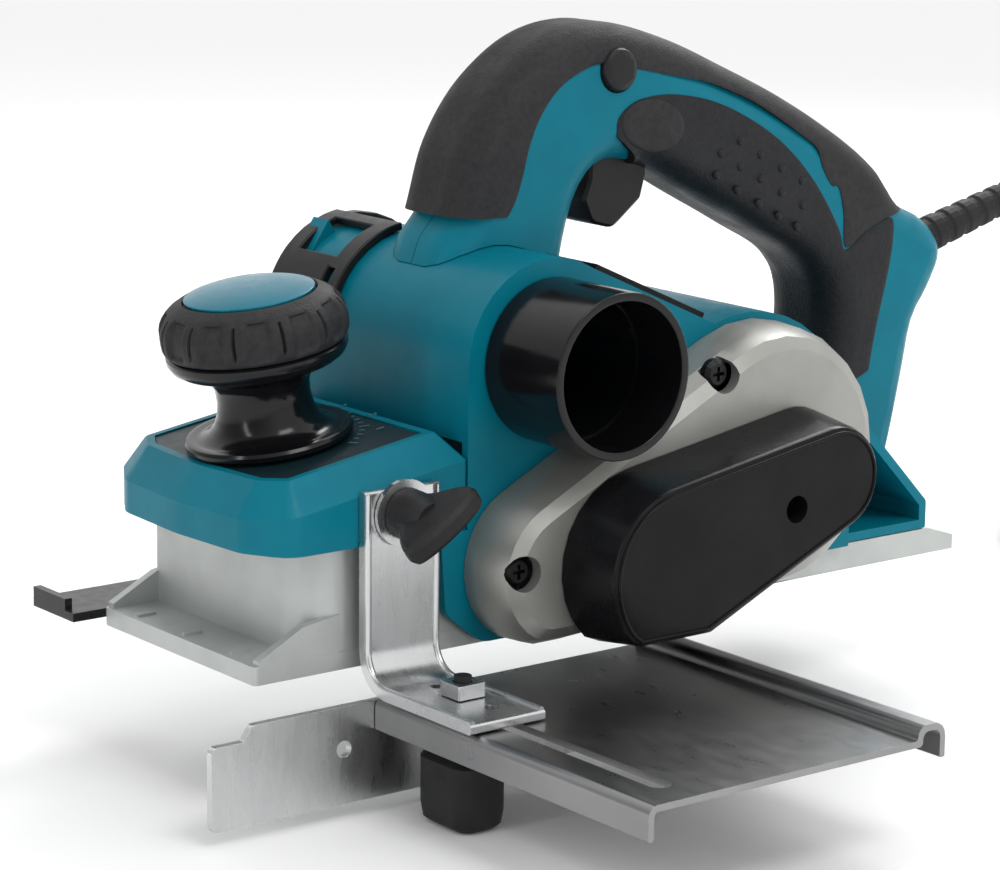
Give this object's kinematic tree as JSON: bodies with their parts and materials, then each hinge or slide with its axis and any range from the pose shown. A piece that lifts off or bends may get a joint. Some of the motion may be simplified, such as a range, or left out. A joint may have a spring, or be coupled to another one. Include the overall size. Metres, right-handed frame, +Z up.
{
  "type": "portable electric hand planer",
  "caption": "Corded hand-held power planer with a closed handle, depth knob, side chip outlet and adjustable edge fence",
  "frame": {"origin": "on the rear sole's flat underside, on the tool's centre plane, 85 mm ahead of the sole's rear edge", "axes": "+X points to the rear where the lead leaves, +Y to the side away from the belt cover, +Z up from the sole"},
  "size_m": [0.5518, 0.2693, 0.2243],
  "materials": {
    "teal_plastic": "satin moulded teal plastic",
    "black_plastic": "black moulded plastic, lightly glossy",
    "black_rubber": "soft black rubber, matt",
    "cast_aluminium": "cast aluminium alloy, satin",
    "bright_steel": "bright zinc-plated steel",
    "blackened_steel": "blackened steel",
    "copper_winding": "varnished copper winding",
    "carbon": "pressed carbon"
  },
  "bodies": {
    "tool": {"main_housing": "teal_plastic", "front_housing": "teal_plastic", "handle_left": "teal_plastic", "handle_right": "teal_plastic", "scale_plate": "black_plastic", "belt_cover": "black_plastic", "motor_end_cover": "black_plastic", "drum_end_cap": "black_plastic", "dust_nozzle": "black_plastic", "chip_cover": "black_plastic", "switch_body": "black_plastic", "plug": "black_plastic", "palm_grip_left": "black_plastic", "palm_grip_right": "black_plastic", "top_grip": "black_rubber", "cord_guard": "black_rubber", "cord": "black_rubber", "cord_coil": "black_rubber", "drive_belt": "black_rubber", "rear_base": "cast_aluminium", "side_case": "cast_aluminium", "drum_bearing_near": "bright_steel", "drum_bearing_far": "bright_steel", "motor_bearing_near": "bright_steel", "motor_bearing_far": "bright_steel", "guide_bracket": "bright_steel", "clamp_washer": "bright_steel", "square_nut": "bright_steel", "stator": "blackened_steel", "case_screw_1": "blackened_steel", "case_screw_2": "blackened_steel", "cover_screw": "blackened_steel", "carbon_brush_top": "carbon", "carbon_brush_bottom": "carbon"},
    "front_shoe": {"front_base": "cast_aluminium", "depth_spring": "bright_steel"},
    "depth_knob": {"knob_core": "black_plastic", "knob_grip": "black_rubber", "knob_cap": "teal_plastic", "depth_screw": "bright_steel"},
    "drum": {"cutter_drum": "cast_aluminium", "planer_blade_a": "bright_steel", "planer_blade_b": "bright_steel", "blade_clamp_a": "cast_aluminium", "blade_clamp_b": "cast_aluminium", "drum_pulley": "cast_aluminium"},
    "rotor": {"motor_shaft": "bright_steel", "armature": "copper_winding", "cooling_fan": "black_plastic", "motor_pulley": "cast_aluminium"},
    "trigger_lever": {"trigger": "black_plastic"},
    "lock_pin": {"lock_button": "black_plastic"},
    "fence": {"fence_plate": "bright_steel", "fence_wall": "bright_steel"},
    "front_wing": {"clamp_knob_front": "black_rubber"},
    "under_wing": {"clamp_knob_under": "black_rubber"},
    "rebate_stop": {"depth_stop": "blackened_steel"},
    "far_wing": {"clamp_knob_far": "black_rubber"},
    "parking_foot": {"rear_foot": "black_plastic"}
  },
  "joints": [
    {"name": "base_slide", "type": "slide", "parent": "tool", "child": "front_shoe", "axis": [-0.1564, 0, 0.9877], "range_m": [0, 0.004]},
    {"name": "knob_turn", "type": "hinge", "parent": "tool", "child": "depth_knob", "pos_m": [-0.1662, 0, 0.0618], "axis": [-0.1564, 0, 0.9877], "range_deg": [0, 330]},
    {"name": "drum_spin", "type": "hinge", "parent": "tool", "child": "drum", "pos_m": [-0.081, 0, 0.0284], "axis": [0, 1, 0], "continuous": true},
    {"name": "rotor_spin", "type": "hinge", "parent": "tool", "child": "rotor", "pos_m": [-0.015, 0, 0.0465], "axis": [0, 1, 0], "continuous": true},
    {"name": "trigger_pull", "type": "hinge", "parent": "tool", "child": "trigger_lever", "pos_m": [-0.029, 0, 0.1415], "axis": [0, 1, 0], "range_deg": [0, 8], "stiffness_Nm_per_rad": 0.6, "springref_deg": -5.73},
    {"name": "lock_press", "type": "slide", "parent": "tool", "child": "lock_pin", "axis": [0, 1, 0], "range_m": [0, 0.003], "stiffness_N_per_m": 600, "springref_m": -0.001},
    {"name": "fence_slide", "type": "slide", "parent": "tool", "child": "fence", "axis": [0, 1, 0], "range_m": [-0.006, 0.085]},
    {"name": "front_wing_turn", "type": "hinge", "parent": "tool", "child": "front_wing", "pos_m": [-0.1525, -0.06, 0.047], "axis": [0, 1, 0], "range_deg": [-60, 60]},
    {"name": "under_wing_turn", "type": "hinge", "parent": "tool", "child": "under_wing", "pos_m": [-0.15, -0.076, -0.03], "axis": [0, 0, 1], "continuous": true},
    {"name": "rebate_stop_slide", "type": "slide", "parent": "tool", "child": "rebate_stop", "axis": [0, 0, 1], "range_m": [0, 0.022]},
    {"name": "far_wing_turn", "type": "hinge", "parent": "tool", "child": "far_wing", "pos_m": [-0.1525, 0.056, 0.047], "axis": [0, 1, 0], "range_deg": [0, 150]},
    {"name": "parking_foot_swing", "type": "hinge", "parent": "tool", "child": "parking_foot", "pos_m": [0.058, 0.0265, 0.0038], "axis": [0, -1, 0], "range_deg": [0, 35]}
  ],
  "couplings": [
    {"joint": "knob_turn", "follows": "base_slide", "rad_per_m": 1430},
    {"joint": "rotor_spin", "follows": "drum_spin", "ratio": 1.5789}
  ]
}
